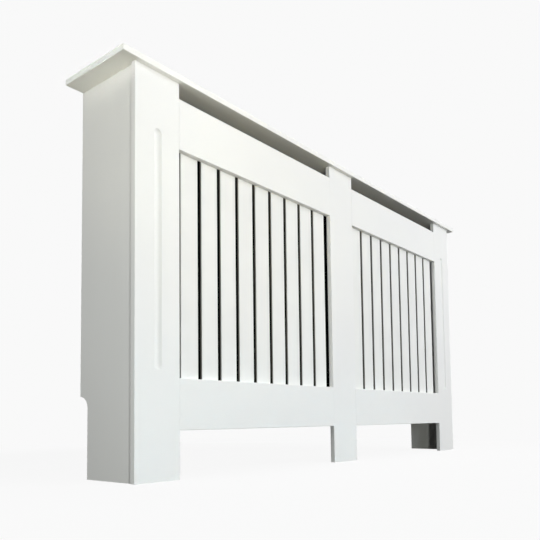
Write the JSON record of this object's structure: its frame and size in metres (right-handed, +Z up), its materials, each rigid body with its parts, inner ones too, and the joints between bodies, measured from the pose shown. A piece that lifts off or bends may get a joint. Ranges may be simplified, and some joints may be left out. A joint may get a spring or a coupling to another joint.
{
  "type": "radiator cover cabinet",
  "caption": "Free-standing white painted cabinet that covers a wall radiator, with a plain shelf, a slatted front in two bays, open vents and notched side panels.",
  "frame": {"origin": "on the floor, at the middle of the cabinet's footprint (bottom centre of its box)", "axes": "+X along the front, to the right as seen from the front; -Y is the way the slatted front faces and +Y points to the wall; +Z is up"},
  "size_m": [1.52, 0.19, 0.815],
  "materials": {
    "shelf": "white satin paint on fibreboard",
    "side_panel": "white satin paint on fibreboard",
    "front_frame": "white satin paint on fibreboard",
    "slat": "white satin paint on thin fibreboard",
    "batten": "planed softwood, unpainted",
    "dowel": "beech, glued in",
    "brad": "bright steel",
    "screw": "zinc plated",
    "bracket": "zinc plated pressed steel"
  },
  "bodies": {
    "root": {"top_shelf": "shelf", "left_side_panel": "side_panel", "right_side_panel": "side_panel", "left_end_stile": "front_frame", "right_end_stile": "front_frame", "centre_stile": "front_frame", "left_top_rail": "front_frame", "right_top_rail": "front_frame", "left_bottom_rail": "front_frame", "right_bottom_rail": "front_frame", "slat_left_1": "slat", "slat_left_2": "slat", "slat_left_3": "slat", "slat_left_4": "slat", "slat_left_5": "slat", "slat_left_6": "slat", "slat_left_7": "slat", "slat_left_8": "slat", "slat_left_9": "slat", "slat_right_1": "slat", "slat_right_2": "slat", "slat_right_3": "slat", "slat_right_4": "slat", "slat_right_5": "slat", "slat_right_6": "slat", "slat_right_7": "slat", "slat_right_8": "slat", "slat_right_9": "slat", "frame_dowels": "dowel", "slat_brads": "brad", "left_corner_batten": "batten", "right_corner_batten": "batten", "corner_batten_screws": "screw", "left_shelf_cleat": "batten", "right_shelf_cleat": "batten", "shelf_cleat_screws": "screw", "centre_shelf_block": "batten", "centre_block_screws": "screw", "left_wall_bracket": "bracket", "right_wall_bracket": "bracket", "wall_bracket_screws": "screw"}
  },
  "joints": []
}
